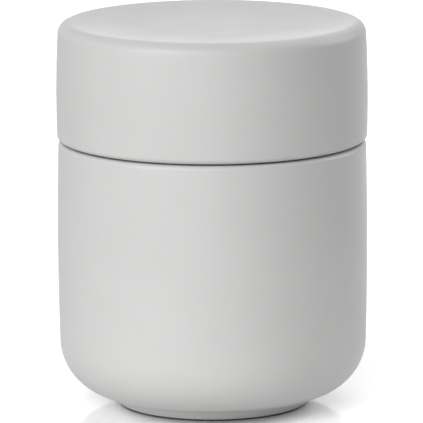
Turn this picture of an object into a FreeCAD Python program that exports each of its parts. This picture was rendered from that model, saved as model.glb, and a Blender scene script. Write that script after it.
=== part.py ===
import FreeCAD, Part
import math
import os

# A round lidded jar for cotton pads, in millimetres. Its axis is Z and it stands on z = 0.

# Outside of the jar and its lid
lid_diameter = 83.1  # at its widest
lid_overhang = 0.1  # how far the lid stands out past the jar, both at their widest
jar_height = 71.3  # from the table to the jar's rim
lid_height = 31.6  # from the lid's lower face to its crest
shadow_gap = 0.4  # open joint between the rim and the lid, held by the seal's flange

# Jar
jar_wall = 4.45  # at the rim
jar_floor = 5.0
jar_bulge = 0.35  # how much the jar's radius grows from its rim to its widest
jar_corner_radius = 14.6  # outside, between the wall and the underside
rim_edge_radius = 1.1  # inside and outside edge of the rim

# Foot and the pad under it
foot_height = 3.0  # from the table to the jar's underside
foot_top_diameter = 56.6  # where the foot meets the underside
foot_base_diameter = 51.1
foot_edge_radius = 0.3
pad_thickness = 0.5  # which lifts the foot off the table
pad_margin = 0.35  # from the edge of the foot's base to the pad
pad_edge_radius = 0.1

# Lid
lid_wall = 4.5  # at the top
lid_roof = 4.2  # under the dish
lid_bulge = 0.65  # how much the lid's radius grows from its crest to its widest
lid_widest_height = 11.0  # of the lid's widest place, over its lower face
lid_top_radius = 3.0  # outside edge of the top
lid_skirt_radius = 1.8  # outside edge of the lower face
lid_dish_depth = 1.2  # hollow of the top below its crest
lid_dish_flat = 34.0  # flat middle of the dish
lid_inside_radius = 5.0  # under the roof
lid_ledge_radius = 2.0  # over the lower face, inside
collar_wall = 3.4  # of the collar that hangs in the jar's mouth, behind the seal
collar_lip_height = 2.0  # of the lip that keeps the seal on the collar
collar_lip_clearance = 1.0  # from the lip to the jar's mouth
collar_edge_radius = 0.7

# Seal: a sleeve round the collar with ribs towards the mouth and a flange on the rim
seal_thickness = 1.2  # of the sleeve
seal_depth = 4.4  # of the sleeve below the rim
seal_rib_height = 0.5
seal_rib_count = 2
seal_clearance = 0.15  # from the ribs to the jar's mouth
seal_fit = 0.05  # from the sleeve to the collar and its lip
seal_setback = 2.0  # from the outside of the rim to the flange
seal_edge_radius = 0.15

# Places that follow from these sizes
lid_radius = lid_diameter / 2
jar_radius = lid_radius - lid_overhang
foot_base_radius = foot_base_diameter / 2
pad_radius = foot_base_radius - pad_margin
floor_top = foot_height + jar_floor
rim_radius = jar_radius - jar_bulge
mouth_radius = rim_radius - jar_wall
skirt_height = jar_height + shadow_gap
crest_height = skirt_height + lid_height
dish_height = crest_height - lid_dish_depth
sleeve_radius = mouth_radius - seal_clearance - seal_rib_height
sleeve_bore = sleeve_radius - seal_thickness
sleeve_bottom = jar_height - seal_depth
groove_radius = sleeve_bore - seal_fit
collar_bore = groove_radius - collar_wall
lip_radius = mouth_radius - collar_lip_clearance
lip_top = sleeve_bottom - seal_fit
collar_bottom = lip_top - collar_lip_height

# A cutting or joining solid runs this far past the face that it opens or joins.
overrun = 2.0


def point(radius, height):
    return FreeCAD.Vector(radius, 0, height)


def turned(edges):
    """The solid that a closed outline of edges makes when it is turned once round the axis."""
    face = Part.Face(Part.Wire(edges))
    return face.revolve(FreeCAD.Vector(0, 0, 0), FreeCAD.Vector(0, 0, 1), 360)


def outline(corners):
    """Edges of a closed outline of straight sides. A corner is (radius, height) or
    (radius, height, rounding), and a rounding is limited by the sides beside it."""
    places = [point(corner[0], corner[1]) for corner in corners]
    roundings = [corner[2] if len(corner) > 2 else 0 for corner in corners]
    starts, ends, arcs = [], [], []
    for index, place in enumerate(places):
        before = places[index - 1] - place
        after = places[(index + 1) % len(places)] - place
        half_angle = before.getAngle(after) / 2
        room = 0.49 * min(before.Length, after.Length)
        reach = min(roundings[index] / math.tan(half_angle), room)
        before.normalize()
        after.normalize()
        start = place + before * reach
        end = place + after * reach
        starts.append(start)
        ends.append(end)
        if reach > 0:
            radius = reach * math.tan(half_angle)
            inward = (before + after).normalize()
            middle = place + inward * (radius / math.sin(half_angle) - radius)
            arcs.append(Part.Arc(start, middle, end).toShape())
        else:
            arcs.append(None)
    edges = []
    for index, arc in enumerate(arcs):
        edges.append(Part.LineSegment(ends[index - 1], starts[index]).toShape())
        if arc:
            edges.append(arc)
    return edges


def barrel(radius, low, high, widest, bulge, low_rounding, high_rounding):
    """A full barrel between two flat faces, with rounded edges that run into its curved wall.
    It bulges from its high end to its widest place, and gives the radius of its high face too."""
    half = high - widest
    wall_radius = (half ** 2 + bulge ** 2) / (2 * bulge)
    centre = point(radius - wall_radius, widest)

    def edge_centre(height, rounding):
        rise = height - widest
        return point(centre.x + math.sqrt((wall_radius - rounding) ** 2 - rise ** 2), height)

    def on_wall(round_centre):
        outward = (round_centre - centre).normalize()
        return centre + outward * wall_radius

    def on_edge(round_centre, rounding, flat_point, wall_point):
        outward = (flat_point + wall_point - round_centre * 2).normalize()
        return round_centre + outward * rounding

    low_centre = edge_centre(low + low_rounding, low_rounding)
    high_centre = edge_centre(high - high_rounding, high_rounding)
    low_flat = point(low_centre.x, low)
    high_flat = point(high_centre.x, high)
    low_wall = on_wall(low_centre)
    high_wall = on_wall(high_centre)
    low_middle = on_edge(low_centre, low_rounding, low_flat, low_wall)
    high_middle = on_edge(high_centre, high_rounding, high_flat, high_wall)
    solid = turned([
        Part.LineSegment(point(0, low), low_flat).toShape(),
        Part.Arc(low_flat, low_middle, low_wall).toShape(),
        Part.Arc(low_wall, point(radius, widest), high_wall).toShape(),
        Part.Arc(high_wall, high_middle, high_flat).toShape(),
        Part.LineSegment(high_flat, point(0, high)).toShape(),
        Part.LineSegment(point(0, high), point(0, low)).toShape(),
    ])
    return solid, high_centre.x


def jar_body():
    """Slip-cast stoneware: a barrel wall on a flared foot, open at the rim."""
    widest = (foot_height + jar_corner_radius + jar_height) / 2
    body, _ = barrel(
        jar_radius, foot_height, jar_height, widest, jar_bulge, jar_corner_radius, rim_edge_radius)
    flare = (foot_top_diameter / 2 - foot_base_radius) / (foot_height - pad_thickness)
    foot_inner = foot_height + jar_floor / 2
    foot = turned(outline([
        (0, pad_thickness),
        (foot_base_radius, pad_thickness, foot_edge_radius),
        (foot_base_radius + flare * (foot_inner - pad_thickness), foot_inner),
        (0, foot_inner),
    ]))
    inside = turned(outline([
        (0, floor_top),
        (mouth_radius, floor_top, jar_corner_radius - jar_wall),
        (mouth_radius, jar_height, rim_edge_radius),
        (jar_radius + overrun, jar_height),
        (jar_radius + overrun, jar_height + overrun),
        (0, jar_height + overrun),
    ]))
    return body.fuse(foot).cut(inside).removeSplitter()


def base_pad():
    """Thin foam disc glued under the foot."""
    return turned(outline([
        (0, 0),
        (pad_radius, 0, pad_edge_radius),
        (pad_radius, pad_thickness),
        (0, pad_thickness),
    ]))


def lid():
    """Slip-cast stoneware: a hollow barrel with a dished top and a collar below."""
    widest = skirt_height + lid_widest_height
    body, crest_radius = barrel(
        lid_radius, skirt_height, crest_height, widest, lid_bulge, lid_skirt_radius, lid_top_radius)
    ledge_top = skirt_height + lid_wall
    collar = turned(outline([
        (0, collar_bottom),
        (lip_radius, collar_bottom, collar_edge_radius),
        (lip_radius, lip_top),
        (groove_radius, lip_top),
        (groove_radius, ledge_top - lid_wall / 2),
        (0, ledge_top - lid_wall / 2),
    ]))
    inside_radius = lid_radius - lid_bulge - lid_wall
    roof_height = dish_height - lid_roof
    inside = turned(outline([
        (0, collar_bottom - overrun),
        (collar_bore, collar_bottom - overrun),
        (collar_bore, ledge_top, lid_ledge_radius),
        (inside_radius, ledge_top, lid_ledge_radius),
        (inside_radius, roof_height, lid_inside_radius),
        (0, roof_height),
    ]))
    flat_radius = lid_dish_flat / 2
    slope_run = crest_radius - flat_radius
    slope = 2 * math.atan(lid_dish_depth / slope_run)
    slope_radius = slope_run / math.sin(slope) - lid_top_radius

    def on_slope(angle):
        return point(
            flat_radius + slope_radius * math.sin(angle),
            dish_height + slope_radius * (1 - math.cos(angle)))

    def on_crest(angle):
        return point(
            crest_radius - lid_top_radius * math.sin(angle),
            crest_height - lid_top_radius * (1 - math.cos(angle)))

    over_crest = point(crest_radius, crest_height + overrun)
    over_middle = point(0, crest_height + overrun)
    dish = turned([
        Part.LineSegment(point(0, dish_height), on_slope(0)).toShape(),
        Part.Arc(on_slope(0), on_slope(slope / 2), on_slope(slope)).toShape(),
        Part.Arc(on_slope(slope), on_crest(slope / 2), on_crest(0)).toShape(),
        Part.LineSegment(on_crest(0), over_crest).toShape(),
        Part.LineSegment(over_crest, over_middle).toShape(),
        Part.LineSegment(over_middle, point(0, dish_height)).toShape(),
    ])
    return body.fuse(collar).cut(inside).cut(dish).removeSplitter()


def lid_seal():
    """Silicone ring stretched over the collar's lip. Its flange keeps the lid off the rim."""
    flange_radius = rim_radius - seal_setback
    ring = turned(outline([
        (sleeve_bore, sleeve_bottom, seal_edge_radius),
        (sleeve_radius, sleeve_bottom, seal_edge_radius),
        (sleeve_radius, jar_height),
        (flange_radius, jar_height, seal_edge_radius),
        (flange_radius, skirt_height, seal_edge_radius),
        (sleeve_bore, skirt_height),
    ]))
    rib_pitch = seal_depth / (seal_rib_count + 1)
    for index in range(seal_rib_count):
        rib_height = sleeve_bottom + rib_pitch * (index + 1)
        ring = ring.fuse(Part.makeTorus(sleeve_radius, seal_rib_height, FreeCAD.Vector(0, 0, rib_height)))
    return ring.removeSplitter()


os.makedirs("parts", exist_ok=True)
nodes = {"jar_body": jar_body(), "base_pad": base_pad(), "lid": lid(), "lid_seal": lid_seal()}
for name, shape in nodes.items():
    shape.exportStep("parts/" + name + ".step")
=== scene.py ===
import math

import bmesh
import bpy
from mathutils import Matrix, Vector


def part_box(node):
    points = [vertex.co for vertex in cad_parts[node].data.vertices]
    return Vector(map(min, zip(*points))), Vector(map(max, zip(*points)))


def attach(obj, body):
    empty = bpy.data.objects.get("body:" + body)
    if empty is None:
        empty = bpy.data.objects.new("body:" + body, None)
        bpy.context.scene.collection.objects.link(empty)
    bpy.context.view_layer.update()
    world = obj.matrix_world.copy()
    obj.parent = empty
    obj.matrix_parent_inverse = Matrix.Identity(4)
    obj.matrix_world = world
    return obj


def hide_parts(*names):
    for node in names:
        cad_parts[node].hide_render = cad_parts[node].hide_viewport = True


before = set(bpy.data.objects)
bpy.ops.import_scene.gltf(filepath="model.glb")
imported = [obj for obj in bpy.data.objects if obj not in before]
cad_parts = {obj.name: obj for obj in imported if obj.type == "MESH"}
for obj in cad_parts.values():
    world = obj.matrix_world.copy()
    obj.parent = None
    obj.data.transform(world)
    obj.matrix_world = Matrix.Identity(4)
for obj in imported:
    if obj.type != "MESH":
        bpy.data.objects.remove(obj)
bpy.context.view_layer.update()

# Camera
# A long lens a little above the lid, looking down on it by about eleven degrees.
# All lengths in this file are in metres, apart from the film's width in millimetres.
picture_pixels = 423
focal_pixels = 5324
film_width = 36
viewing_distance = 1.4
camera_height = 0.3173
camera_side = -0.00027
aim_height = 0.05173
camera_roll = 0.004

bpy.ops.object.camera_add(location=(camera_side, -viewing_distance, camera_height))
camera = bpy.context.object
camera.data.sensor_width = film_width
camera.data.lens = film_width * focal_pixels / picture_pixels
look_down = math.atan2(camera_height - aim_height, viewing_distance)
camera.rotation_mode = "ZYX"
camera.rotation_euler = (math.pi / 2 - look_down, 0, -camera_roll)
bpy.context.scene.camera = camera
bpy.context.scene.view_settings.view_transform = "Standard"


# Table
# A sheet of glossy white acrylic, painted darker under the foot and just in front of it, which is a painted
# contact shadow over the one the lamps cast, and only just white away from it; it mirrors the jar. The
# light it throws back is painted darker near the foot and fades far from the jar, and the jar mirrors it
# painted paler towards the right.
table_size = 8
table_drop = 0.00002
painted_shadow_forward = 0.01
painted_shadow_radius = 0.0185
pale_radius = 0.028
sheet_radius = 0.09
fade_radius = 0.23
# Painted shadow and shade: greys graded by the distance from the middle of the painted shadow near the
# foot.
seen_greys_with_painted_shadow = [(painted_shadow_radius, 0.7), (pale_radius, 1.75), (sheet_radius, 2.2)]
bounce_greys_with_painted_shade = [(painted_shadow_radius, 0.63), (pale_radius, 0.82), (sheet_radius, 0.96), (fade_radius, 0.33)]
painted_reflection_reach = 0.08
# Painted reflection: greys for the sheet as the jar mirrors it, darker on the left and paler on the right.
painted_reflection_left_grey = 1.12
painted_reflection_right_grey = 1.5
acrylic_roughness = 0.08
acrylic_ior = 1.49


def new_finish(name):
    """A new material, with its node tree and its shader."""
    finish = bpy.data.materials.new(name)
    finish.use_nodes = True
    return finish, finish.node_tree, finish.node_tree.nodes["Principled BSDF"]


def grey_by_painted_shadow_distance(socket, greys):
    """Grades a grey of the sheet by the distance from the middle of its painted shadow."""
    grade = acrylic_tree.nodes.new("ShaderNodeValToRGB")
    stops = grade.color_ramp.elements
    stops.remove(stops[0])
    for radius, grey in greys:
        stops.new(radius).color = (grey, grey, grey, 1)
    stops.remove(stops[-1])
    acrylic_tree.links.new(painted_shadow_distance.outputs["Value"], grade.inputs["Fac"])
    acrylic_tree.links.new(grade.outputs["Color"], socket)


def by_ray(tree, ray, chosen, otherwise):
    """Gives one shader to a kind of ray and another to the rest."""
    kind = tree.nodes.new("ShaderNodeLightPath")
    choice = tree.nodes.new("ShaderNodeMixShader")
    tree.links.new(kind.outputs[ray], choice.inputs[0])
    tree.links.new(otherwise, choice.inputs[1])
    tree.links.new(chosen, choice.inputs[2])
    return choice.outputs[0]


bpy.ops.object.select_all(action="DESELECT")
bpy.ops.mesh.primitive_plane_add(size=table_size, location=(0, 0, -table_drop))
table = bpy.context.object
table.name = "table"
acrylic, acrylic_tree, acrylic_seen = new_finish("white_acrylic_painted_shadow")
acrylic_seen.inputs["Roughness"].default_value = acrylic_roughness
acrylic_seen.inputs["IOR"].default_value = acrylic_ior
table_place = acrylic_tree.nodes.new("ShaderNodeTexCoord")
painted_shadow_centre = acrylic_tree.nodes.new("ShaderNodeMapping")
painted_shadow_centre.inputs["Location"].default_value = (0, painted_shadow_forward, 0)
acrylic_tree.links.new(table_place.outputs["Object"], painted_shadow_centre.inputs["Vector"])
painted_shadow_distance = acrylic_tree.nodes.new("ShaderNodeVectorMath")
painted_shadow_distance.operation = "LENGTH"
acrylic_tree.links.new(painted_shadow_centre.outputs["Vector"], painted_shadow_distance.inputs[0])
# Painted contact shadow: the seen grey is darker near the foot than the lamps alone make it.
grey_by_painted_shadow_distance(acrylic_seen.inputs["Base Color"], seen_greys_with_painted_shadow)
# Painted shade: the grey that the sheet throws back is darker near the foot and fades far from the jar.
acrylic_bounce = acrylic_tree.nodes.new("ShaderNodeBsdfDiffuse")
grey_by_painted_shadow_distance(acrylic_bounce.inputs["Color"], bounce_greys_with_painted_shade)
# Painted reflection: the sheet as the jar mirrors it is greyer on the left and paler towards the right.
table_across = acrylic_tree.nodes.new("ShaderNodeSeparateXYZ")
acrylic_tree.links.new(table_place.outputs["Object"], table_across.inputs["Vector"])
painted_reflection_grey = acrylic_tree.nodes.new("ShaderNodeMapRange")
painted_reflection_grey.inputs["From Min"].default_value = -painted_reflection_reach
painted_reflection_grey.inputs["From Max"].default_value = painted_reflection_reach
painted_reflection_grey.inputs["To Min"].default_value = painted_reflection_left_grey
painted_reflection_grey.inputs["To Max"].default_value = painted_reflection_right_grey
acrylic_tree.links.new(table_across.outputs["X"], painted_reflection_grey.inputs["Value"])
acrylic_painted_reflection = acrylic_tree.nodes.new("ShaderNodeBsdfDiffuse")
acrylic_tree.links.new(painted_reflection_grey.outputs["Result"], acrylic_painted_reflection.inputs["Color"])
acrylic_surface = by_ray(acrylic_tree, "Is Diffuse Ray", acrylic_bounce.outputs[0], acrylic_seen.outputs[0])
acrylic_surface = by_ray(acrylic_tree, "Is Glossy Ray", acrylic_painted_reflection.outputs[0], acrylic_surface)
acrylic_tree.links.new(acrylic_surface, acrylic_tree.nodes["Material Output"].inputs["Surface"])
table.data.materials.append(acrylic)


# Room and lamps
# The room is white to the eye and to reflections but fills the shadows only a little. Broad soft lamps
# stand far away, the main one low at the front left, with others at the left, the back and the right.
room_white_strength = 1
room_fill_strength = 0.13

room = bpy.data.worlds.new("white_room")
room.use_nodes = True
bpy.context.scene.world = room
room_tree = room.node_tree
room_fill = room_tree.nodes["Background"]
room_fill.inputs["Color"].default_value = (1, 1, 1, 1)
room_fill.inputs["Strength"].default_value = room_fill_strength
room_white = room_tree.nodes.new("ShaderNodeBackground")
room_white.inputs["Color"].default_value = (1, 1, 1, 1)
room_white.inputs["Strength"].default_value = room_white_strength
room_surface = room_fill.outputs[0]
for ray in ("Is Camera Ray", "Is Glossy Ray", "Is Transmission Ray"):
    room_surface = by_ray(room_tree, ray, room_white.outputs[0], room_surface)
room_tree.links.new(room_surface, room_tree.nodes["World Output"].inputs["Surface"])


def soft_lamp(azimuth, elevation, strength, breadth):
    """A broad lamp far away; its azimuth runs from the camera's side towards the right."""
    bpy.ops.object.light_add(type="SUN")
    lamp = bpy.context.object
    lamp.data.energy = strength
    lamp.data.angle = math.radians(breadth)
    lamp.rotation_euler = (math.radians(90 - elevation), 0, math.radians(azimuth))


soft_lamp(azimuth=-25, elevation=5, strength=3.35, breadth=80)
soft_lamp(azimuth=-45, elevation=20, strength=0.86, breadth=50)
soft_lamp(azimuth=165, elevation=55, strength=0.61, breadth=60)
soft_lamp(azimuth=115, elevation=23, strength=0.84, breadth=40)
soft_lamp(azimuth=180, elevation=2, strength=0.018, breadth=8)


# Jar
# Slip-cast stoneware with a matte soft-touch coat outside and a satin glaze inside. The wall bulges
# slightly, the bottom is well rounded, and the low flared foot is left bare where it was wiped clean.
rim_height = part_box("jar_body")[1].z
jar_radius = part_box("jar_body")[1].x
foot_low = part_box("jar_body")[0].z
jar_wall = 0.00445
jar_floor_top = 0.008
jar_bulge = 0.00035
jar_underside = 0.003
jar_corner_radius = 0.0146
rim_rounding = 0.0011
crease_radius = 0.0284
crease_softness = 0.0008
foot_base_radius = 0.02555
foot_rounding = 0.00012
first_plane_size = 0.001
spin_steps = 192
merge_distance = 0.000002
casting_sharp_angle = math.radians(40)
zone_margin = 0.0001
base_margin = 0.00001
noise_low = 0.3
noise_high = 0.7


def start_outline(name, radius, height):
    """Begins a piece's outline with one point, in the plane of the axis and +X."""
    bpy.ops.object.select_all(action="DESELECT")
    bpy.ops.mesh.primitive_plane_add(size=first_plane_size)
    bpy.context.object.name = name
    bpy.ops.object.mode_set(mode="EDIT")
    bpy.ops.mesh.select_mode(type="VERT")
    bpy.ops.mesh.select_all(action="SELECT")
    bpy.ops.mesh.merge(type="CENTER")
    bpy.ops.transform.translate(value=(radius, 0, height))


def outline_end():
    """The outline's last point, which is the one that is selected."""
    drawn = bmesh.from_edit_mesh(bpy.context.object.data)
    return next(vertex.co.copy() for vertex in drawn.verts if vertex.select)


def run_to(radius, height):
    """Draws a straight stretch of the outline."""
    step = Vector((radius, 0, height)) - outline_end()
    bpy.ops.mesh.extrude_region_move(TRANSFORM_OT_translate={"value": step})


def sweep_about(radius, height, end_angle, steps):
    """Draws an arc of the outline about a centre, to an angle above the horizontal."""
    spoke = outline_end() - Vector((radius, 0, height))
    turn = end_angle - math.atan2(spoke.z, spoke.x)
    bpy.ops.mesh.spin(steps=steps, angle=turn, center=(radius, 0, height), axis=(0, 1, 0))


def soften(radius, height, reach, steps):
    """Rounds the outline's corner at a place."""
    bpy.ops.mesh.select_all(action="DESELECT")
    drawn = bmesh.from_edit_mesh(bpy.context.object.data)
    place = Vector((radius, 0, height))
    corner = min(drawn.verts, key=lambda vertex: (vertex.co - place).length)
    corner.select_set(True)
    drawn.select_flush_mode()
    bpy.ops.mesh.bevel(offset=reach, segments=steps, affect="VERTICES")


def spin_outline(sharp_angle):
    """Turns the finished outline round the axis, closes its seam and poles, and smooths it."""
    bpy.ops.mesh.select_all(action="SELECT")
    bpy.ops.mesh.spin(steps=spin_steps, angle=2 * math.pi, center=(0, 0, 0), axis=(0, 0, 1))
    bpy.ops.mesh.select_all(action="SELECT")
    bpy.ops.mesh.remove_doubles(threshold=merge_distance)
    bpy.ops.mesh.normals_make_consistent(inside=False)
    bpy.ops.object.mode_set(mode="OBJECT")
    bpy.ops.object.shade_smooth_by_angle(angle=sharp_angle)
    return bpy.context.object


def finish_faces(piece, material, belongs):
    """Gives a material to the faces whose radius and height pass a test."""
    piece.data.materials.append(material)
    piece.active_material_index = len(piece.data.materials) - 1
    bpy.ops.object.mode_set(mode="EDIT")
    bpy.ops.mesh.select_mode(type="FACE")
    bpy.ops.mesh.select_all(action="DESELECT")
    drawn = bmesh.from_edit_mesh(piece.data)
    for face in drawn.faces:
        centre = face.calc_center_median()
        face.select_set(belongs(math.hypot(centre.x, centre.y), centre.z))
    bmesh.update_edit_mesh(piece.data)
    bpy.ops.object.material_slot_assign()
    bpy.ops.object.mode_set(mode="OBJECT")


def noise(tree, scale, detail, offset):
    """Noise on the piece's own coordinates, in features of one over the scale."""
    place = tree.nodes.new("ShaderNodeTexCoord")
    shift = tree.nodes.new("ShaderNodeMapping")
    shift.inputs["Location"].default_value = offset
    tree.links.new(place.outputs["Object"], shift.inputs["Vector"])
    pattern = tree.nodes.new("ShaderNodeTexNoise")
    pattern.inputs["Scale"].default_value = scale
    pattern.inputs["Detail"].default_value = detail
    tree.links.new(shift.outputs["Vector"], pattern.inputs["Vector"])
    return pattern.outputs["Fac"]


def spread(tree, value, low, high):
    """Maps the middle of a noise to a range."""
    change = tree.nodes.new("ShaderNodeMapRange")
    change.inputs["From Min"].default_value = noise_low
    change.inputs["From Max"].default_value = noise_high
    change.inputs["To Min"].default_value = low
    change.inputs["To Max"].default_value = high
    tree.links.new(value, change.inputs["Value"])
    return change.outputs["Result"]


def tint(tree, value, dark, light):
    """Mixes two colours by a noise."""
    ramp = tree.nodes.new("ShaderNodeValToRGB")
    ramp.color_ramp.elements[0].position = noise_low
    ramp.color_ramp.elements[0].color = (*dark, 1)
    ramp.color_ramp.elements[1].position = noise_high
    ramp.color_ramp.elements[1].color = (*light, 1)
    tree.links.new(value, ramp.inputs["Fac"])
    return ramp.outputs["Color"]


def relief(tree, value, depth, under=None):
    """A bump of a real depth, over another one if there is one."""
    bump = tree.nodes.new("ShaderNodeBump")
    bump.inputs["Distance"].default_value = depth
    tree.links.new(value, bump.inputs["Height"])
    if under:
        tree.links.new(under, bump.inputs["Normal"])
    return bump.outputs["Normal"]


def soft_coat(name, offset):
    """Pale grey soft-touch coat: faint clouds of tone, a fine dry grain and a slow unevenness."""
    coat, tree, shader = new_finish(name)
    clouds = noise(tree, scale=40, detail=3, offset=offset)
    tone = tint(tree, clouds, dark=(0.581, 0.581, 0.576), light=(0.601, 0.601, 0.596))
    tree.links.new(tone, shader.inputs["Base Color"])
    patches = noise(tree, scale=90, detail=2, offset=offset)
    tree.links.new(spread(tree, patches, low=0.28, high=0.34), shader.inputs["Roughness"])
    shader.inputs["Specular IOR Level"].default_value = 0.3
    swell = noise(tree, scale=60, detail=1, offset=offset)
    uneven = relief(tree, swell, depth=0.00008)
    grain = noise(tree, scale=2600, detail=2, offset=offset)
    tree.links.new(relief(tree, grain, depth=0.000012, under=uneven), shader.inputs["Normal"])
    return coat


def satin_glaze(name, offset):
    """Clear satin glaze over the same clay, with a slight orange peel."""
    glaze, tree, shader = new_finish(name)
    clouds = noise(tree, scale=70, detail=3, offset=offset)
    tone = tint(tree, clouds, dark=(0.612, 0.61, 0.603), light=(0.628, 0.626, 0.619))
    tree.links.new(tone, shader.inputs["Base Color"])
    patches = noise(tree, scale=200, detail=2, offset=offset)
    tree.links.new(spread(tree, patches, low=0.3, high=0.36), shader.inputs["Roughness"])
    peel = noise(tree, scale=320, detail=1, offset=offset)
    tree.links.new(relief(tree, peel, depth=0.000012), shader.inputs["Normal"])
    return glaze


def bare_clay(name, offset):
    """Fired clay without coat or glaze: dry, sandy and a little darker."""
    clay, tree, shader = new_finish(name)
    sand = noise(tree, scale=900, detail=4, offset=offset)
    tone = tint(tree, sand, dark=(0.42, 0.4, 0.37), light=(0.56, 0.54, 0.5))
    tree.links.new(tone, shader.inputs["Base Color"])
    shader.inputs["Roughness"].default_value = 0.9
    tree.links.new(relief(tree, sand, depth=0.00006), shader.inputs["Normal"])
    return clay


def everywhere(radius, height):
    return True


def inside_jar(radius, height):
    return radius < mouth_radius + zone_margin and height > jar_floor_top - zone_margin


def under_foot(radius, height):
    return radius < foot_base_radius and height < foot_low + base_margin


rim_radius = jar_radius - jar_bulge
mouth_radius = rim_radius - jar_wall
inside_corner_radius = jar_corner_radius - jar_wall
jar_widest = (jar_underside + jar_corner_radius + rim_height) / 2
jar_wall_curve = ((rim_height - jar_widest) ** 2 + jar_bulge ** 2) / (2 * jar_bulge)
jar_wall_centre = jar_radius - jar_wall_curve
jar_wall_end = math.asin((rim_height - jar_widest) / jar_wall_curve)
jar_corner_reach = jar_wall_curve - jar_corner_radius
jar_corner_height = jar_underside + jar_corner_radius
jar_corner_drop = jar_corner_height - jar_widest
jar_corner_centre = jar_wall_centre + math.sqrt(jar_corner_reach ** 2 - jar_corner_drop ** 2)
jar_corner_end = math.asin(jar_corner_drop / jar_corner_reach)
crease_angle = -math.acos((crease_radius - jar_corner_centre) / jar_corner_radius)
crease_height = jar_corner_height + jar_corner_radius * math.sin(crease_angle)

start_outline("jar_casting", 0, foot_low)
run_to(foot_base_radius, foot_low)
run_to(crease_radius, crease_height)
sweep_about(jar_corner_centre, jar_corner_height, jar_corner_end, steps=24)
sweep_about(jar_wall_centre, jar_widest, jar_wall_end, steps=28)
run_to(mouth_radius, rim_height)
run_to(mouth_radius, jar_floor_top)
run_to(0, jar_floor_top)
soften(foot_base_radius, foot_low, foot_rounding, steps=3)
soften(crease_radius, crease_height, crease_softness, steps=4)
soften(rim_radius, rim_height, rim_rounding, steps=7)
soften(mouth_radius, rim_height, rim_rounding, steps=7)
soften(mouth_radius, jar_floor_top, inside_corner_radius, steps=16)
jar = spin_outline(casting_sharp_angle)
finish_faces(jar, soft_coat("jar_coat", offset=(0.3, 0.1, 0.2)), everywhere)
finish_faces(jar, satin_glaze("jar_glaze", offset=(0.5, 0.2, 0.1)), inside_jar)
finish_faces(jar, bare_clay("jar_clay", offset=(0.1, 0.4, 0.3)), under_foot)
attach(jar, "jar")
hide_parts("jar_body")


# Foot pad
# A thin charcoal disc of closed-cell foam, die-cut a little smaller than the foot and glued under it.
# It keeps the stoneware off the table and shows as a dark line below the foot.
pad_low, pad_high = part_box("base_pad")
pad_radius = pad_high.x
pad_rounding = 0.0001
pad_sharp_angle = math.radians(40)
foam_cell_scale = 1600

start_outline("foot_pad", 0, pad_low.z)
run_to(pad_radius, pad_low.z)
run_to(pad_radius, pad_high.z)
run_to(0, pad_high.z)
soften(pad_radius, pad_low.z, pad_rounding, steps=3)
foot_pad = spin_outline(pad_sharp_angle)
foam, foam_tree, foam_shader = new_finish("pad_foam")
foam_place = foam_tree.nodes.new("ShaderNodeTexCoord")
foam_cells = foam_tree.nodes.new("ShaderNodeTexVoronoi")
foam_cells.inputs["Scale"].default_value = foam_cell_scale
foam_tree.links.new(foam_place.outputs["Object"], foam_cells.inputs["Vector"])
cell_walls = foam_cells.outputs["Distance"]
foam_tone = tint(foam_tree, cell_walls, dark=(0.02, 0.02, 0.021), light=(0.045, 0.045, 0.047))
foam_tree.links.new(foam_tone, foam_shader.inputs["Base Color"])
foam_tree.links.new(relief(foam_tree, cell_walls, depth=0.0001), foam_shader.inputs["Normal"])
foam_shader.inputs["Roughness"].default_value = 0.85
foot_pad.data.materials.append(foam)
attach(foot_pad, "jar")
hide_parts("base_pad")


# Seal
# A moulded charcoal silicone ring, stretched over the lip of the lid's collar; its very dark tone is partly
# painted shade for the seam. Its flange lies on the rim and keeps the two castings apart, and its ribs
# centre the lid in the mouth.
seal_low, seal_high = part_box("lid_seal")
seal_clearance = 0.00015
seal_rib = 0.0005
seal_ribs = 2
seal_thickness = 0.0012
seal_rounding = 0.00015
seal_sharp_angle = math.radians(50)
sleeve_radius = mouth_radius - seal_clearance - seal_rib
sleeve_bore = sleeve_radius - seal_thickness
rib_pitch = (rim_height - seal_low.z) / (seal_ribs + 1)

start_outline("seal_ring", sleeve_bore, seal_low.z)
run_to(sleeve_radius, seal_low.z)
for rib in range(seal_ribs):
    rib_height = seal_low.z + rib_pitch * (rib + 1)
    run_to(sleeve_radius, rib_height - seal_rib)
    sweep_about(sleeve_radius, rib_height, math.pi / 2, steps=8)
run_to(sleeve_radius, rim_height)
run_to(seal_high.x, rim_height)
run_to(seal_high.x, seal_high.z)
run_to(sleeve_bore, seal_high.z)
run_to(sleeve_bore, seal_low.z)
bpy.ops.mesh.select_all(action="SELECT")
bpy.ops.mesh.remove_doubles(threshold=merge_distance)
soften(sleeve_bore, seal_low.z, seal_rounding, steps=3)
soften(sleeve_radius, seal_low.z, seal_rounding, steps=3)
soften(seal_high.x, rim_height, seal_rounding, steps=3)
soften(seal_high.x, seal_high.z, seal_rounding, steps=3)
seal = spin_outline(seal_sharp_angle)
silicone, silicone_tree, silicone_shader = new_finish("seal_silicone")
silicone_clouds = noise(silicone_tree, scale=150, detail=2, offset=(0.2, 0.2, 0.2))
# The charcoal is kept very dark so that it also darkens the seam between lid and jar: partly painted shade.
silicone_tone_and_seam_shade = tint(silicone_tree, silicone_clouds, dark=(0.05, 0.05, 0.049), light=(0.065, 0.065, 0.063))
silicone_tree.links.new(silicone_tone_and_seam_shade, silicone_shader.inputs["Base Color"])
silicone_sheen = spread(silicone_tree, silicone_clouds, low=0.38, high=0.5)
silicone_tree.links.new(silicone_sheen, silicone_shader.inputs["Roughness"])
silicone_shader.inputs["IOR"].default_value = 1.41
seal.data.materials.append(silicone)
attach(seal, "seal")
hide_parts("lid_seal")


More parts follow.
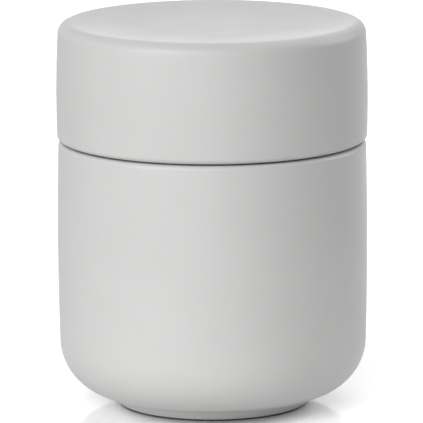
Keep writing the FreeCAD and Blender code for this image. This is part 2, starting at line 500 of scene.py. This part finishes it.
# Lid
# A hollow slip-cast lid in the same stoneware and coat, with soft edges and a top that dips a little
# inside its crest. A collar below it hangs in the mouth and holds the seal in a groove.
lid_low, lid_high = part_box("lid")
skirt_height = seal_high.z
crest_height = lid_high.z
lid_radius = lid_high.x
lid_bulge = 0.00065
lid_widest_height = 0.011
lid_wall = 0.0045
lid_roof = 0.0042
lid_top_rounding = 0.003
lid_skirt_rounding = 0.0018
lid_inside_rounding = 0.005
lid_ledge_rounding = 0.002
dish_depth = 0.0012
dish_flat_radius = 0.017
collar_wall = 0.0034
collar_lip = 0.002
collar_lip_clearance = 0.001
collar_rounding = 0.0007
seal_fit = 0.00005

lid_widest = skirt_height + lid_widest_height
lid_wall_curve = ((crest_height - lid_widest) ** 2 + lid_bulge ** 2) / (2 * lid_bulge)
lid_wall_centre = lid_radius - lid_wall_curve
skirt_radius = lid_wall_centre + math.sqrt(lid_wall_curve ** 2 - lid_widest_height ** 2)
crest_reach = lid_wall_curve - lid_top_rounding
crest_centre_height = crest_height - lid_top_rounding
crest_rise = crest_centre_height - lid_widest
crest_centre = lid_wall_centre + math.sqrt(crest_reach ** 2 - crest_rise ** 2)
crest_start = math.asin(crest_rise / crest_reach)
dish_height = crest_height - dish_depth
dish_slope = 2 * math.atan(dish_depth / (crest_centre - dish_flat_radius))
dish_curve = (crest_centre - dish_flat_radius) / math.sin(dish_slope) - lid_top_rounding
lid_inside_radius = lid_radius - lid_bulge - lid_wall
lid_roof_height = dish_height - lid_roof
ledge_top = skirt_height + lid_wall
groove_radius = sleeve_bore - seal_fit
collar_bore = groove_radius - collar_wall
lip_radius = mouth_radius - collar_lip_clearance
lip_top = lid_low.z + collar_lip


def inside_lid(radius, height):
    return radius < lid_inside_radius + zone_margin and height < lid_roof_height + zone_margin


def outside_collar(radius, height):
    return collar_bore + zone_margin < radius < lip_radius + zone_margin and height < skirt_height


start_outline("lid_casting", 0, lid_roof_height)
run_to(lid_inside_radius, lid_roof_height)
run_to(lid_inside_radius, ledge_top)
run_to(collar_bore, ledge_top)
run_to(collar_bore, lid_low.z)
run_to(lip_radius, lid_low.z)
run_to(lip_radius, lip_top)
run_to(groove_radius, lip_top)
run_to(groove_radius, skirt_height)
run_to(skirt_radius, skirt_height)
sweep_about(lid_wall_centre, lid_widest, crest_start, steps=20)
sweep_about(crest_centre, crest_centre_height, math.pi / 2 + dish_slope, steps=14)
sweep_about(dish_flat_radius, dish_height + dish_curve, -math.pi / 2, steps=12)
run_to(0, dish_height)
soften(lid_inside_radius, lid_roof_height, lid_inside_rounding, steps=10)
soften(lid_inside_radius, ledge_top, lid_ledge_rounding, steps=6)
soften(collar_bore, ledge_top, lid_ledge_rounding, steps=6)
soften(collar_bore, lid_low.z, collar_rounding, steps=4)
soften(lip_radius, lid_low.z, collar_rounding, steps=4)
soften(skirt_radius, skirt_height, lid_skirt_rounding, steps=7)
lid = spin_outline(casting_sharp_angle)
finish_faces(lid, soft_coat("lid_coat", offset=(0.7, 0.3, 0.6)), everywhere)
finish_faces(lid, satin_glaze("lid_glaze", offset=(0.2, 0.6, 0.4)), inside_lid)
finish_faces(lid, bare_clay("lid_clay", offset=(0.6, 0.1, 0.5)), outside_collar)
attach(lid, "lid")
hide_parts("lid")
